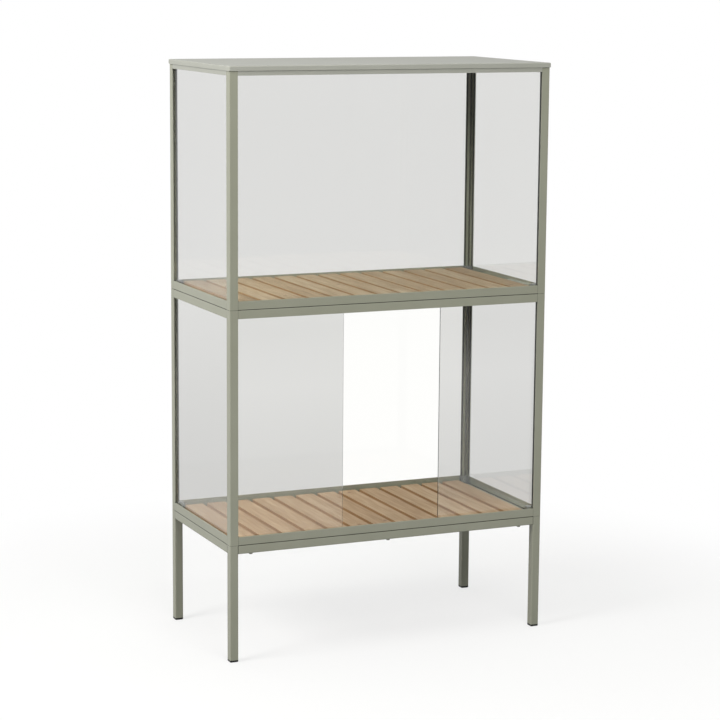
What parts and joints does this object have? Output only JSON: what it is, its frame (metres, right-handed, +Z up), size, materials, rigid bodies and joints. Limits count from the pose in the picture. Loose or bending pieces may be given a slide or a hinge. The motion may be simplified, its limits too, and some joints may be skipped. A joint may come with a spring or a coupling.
{
  "type": "greenhouse cabinet",
  "caption": "Free-standing indoor greenhouse cabinet: a tube leg base, stacked glazed cases of folded steel angle, slatted wooden decks, sliding glass doors and a lift-off cap.",
  "frame": {"origin": "on the floor, under the middle of the frame", "axes": "+Z up, +X to the right seen from the front, +Y to the back, so the front faces -Y"},
  "size_m": [0.805, 0.405, 1.3625],
  "materials": {
    "frame_paint": "fine-texture matt powder coat in a pale grey-green",
    "pane_glass": "clear float glass with ground edges",
    "slat_wood": "planed softwood with knots, clear oiled",
    "seal_rubber": "matt black extruded strip",
    "foot_plastic": "moulded, fine grain",
    "clear_plastic": "clear to milky moulded pad",
    "zinc_steel": "zinc plated"
  },
  "bodies": {
    "frame": {"leg_front_left": "frame_paint", "leg_front_right": "frame_paint", "leg_back_left": "frame_paint", "leg_back_right": "frame_paint", "base_rail_front": "frame_paint", "base_rail_back": "frame_paint", "base_rail_left": "frame_paint", "base_rail_right": "frame_paint", "foot_caps": "foot_plastic", "base_bolts": "frame_paint", "lower_post_front_left": "frame_paint", "lower_post_front_right": "frame_paint", "lower_post_back_left": "frame_paint", "lower_post_back_right": "frame_paint", "lower_bottom_rail_front": "frame_paint", "lower_bottom_rail_back": "frame_paint", "lower_bottom_rail_left": "frame_paint", "lower_bottom_rail_right": "frame_paint", "lower_top_rail_front": "frame_paint", "lower_top_rail_back": "frame_paint", "lower_top_rail_left": "frame_paint", "lower_top_rail_right": "frame_paint", "lower_pane_left": "pane_glass", "lower_pane_right": "pane_glass", "lower_pane_back": "pane_glass", "lower_seals": "seal_rubber", "lower_corner_pads": "clear_plastic", "lower_slats": "slat_wood", "lower_battens": "slat_wood", "lower_deck_screws": "zinc_steel", "upper_post_front_left": "frame_paint", "upper_post_front_right": "frame_paint", "upper_post_back_left": "frame_paint", "upper_post_back_right": "frame_paint", "upper_bottom_rail_front": "frame_paint", "upper_bottom_rail_back": "frame_paint", "upper_bottom_rail_left": "frame_paint", "upper_bottom_rail_right": "frame_paint", "upper_top_rail_front": "frame_paint", "upper_top_rail_back": "frame_paint", "upper_top_rail_left": "frame_paint", "upper_top_rail_right": "frame_paint", "upper_pane_left": "pane_glass", "upper_pane_right": "pane_glass", "upper_pane_back": "pane_glass", "upper_seals": "seal_rubber", "upper_corner_pads": "clear_plastic", "upper_slats": "slat_wood", "upper_battens": "slat_wood", "upper_deck_screws": "zinc_steel", "upper_pane_front": "pane_glass", "door_track_bottom": "frame_paint", "door_track_top": "frame_paint", "case_bolts": "zinc_steel", "case_nuts": "zinc_steel"},
    "left_door": {"left_door": "pane_glass"},
    "right_door": {"right_door": "pane_glass"},
    "cap": {"top_cap": "frame_paint"}
  },
  "joints": [
    {"name": "left_door_slide", "type": "slide", "parent": "frame", "child": "left_door", "axis": [1, 0, 0], "range_m": [-0.01, 0.499]},
    {"name": "right_door_slide", "type": "slide", "parent": "frame", "child": "right_door", "axis": [1, 0, 0], "range_m": [-0.521, 0]},
    {"name": "cap_lift", "type": "slide", "parent": "frame", "child": "cap", "axis": [0, 0, 1], "range_m": [0, 0.15]}
  ]
}
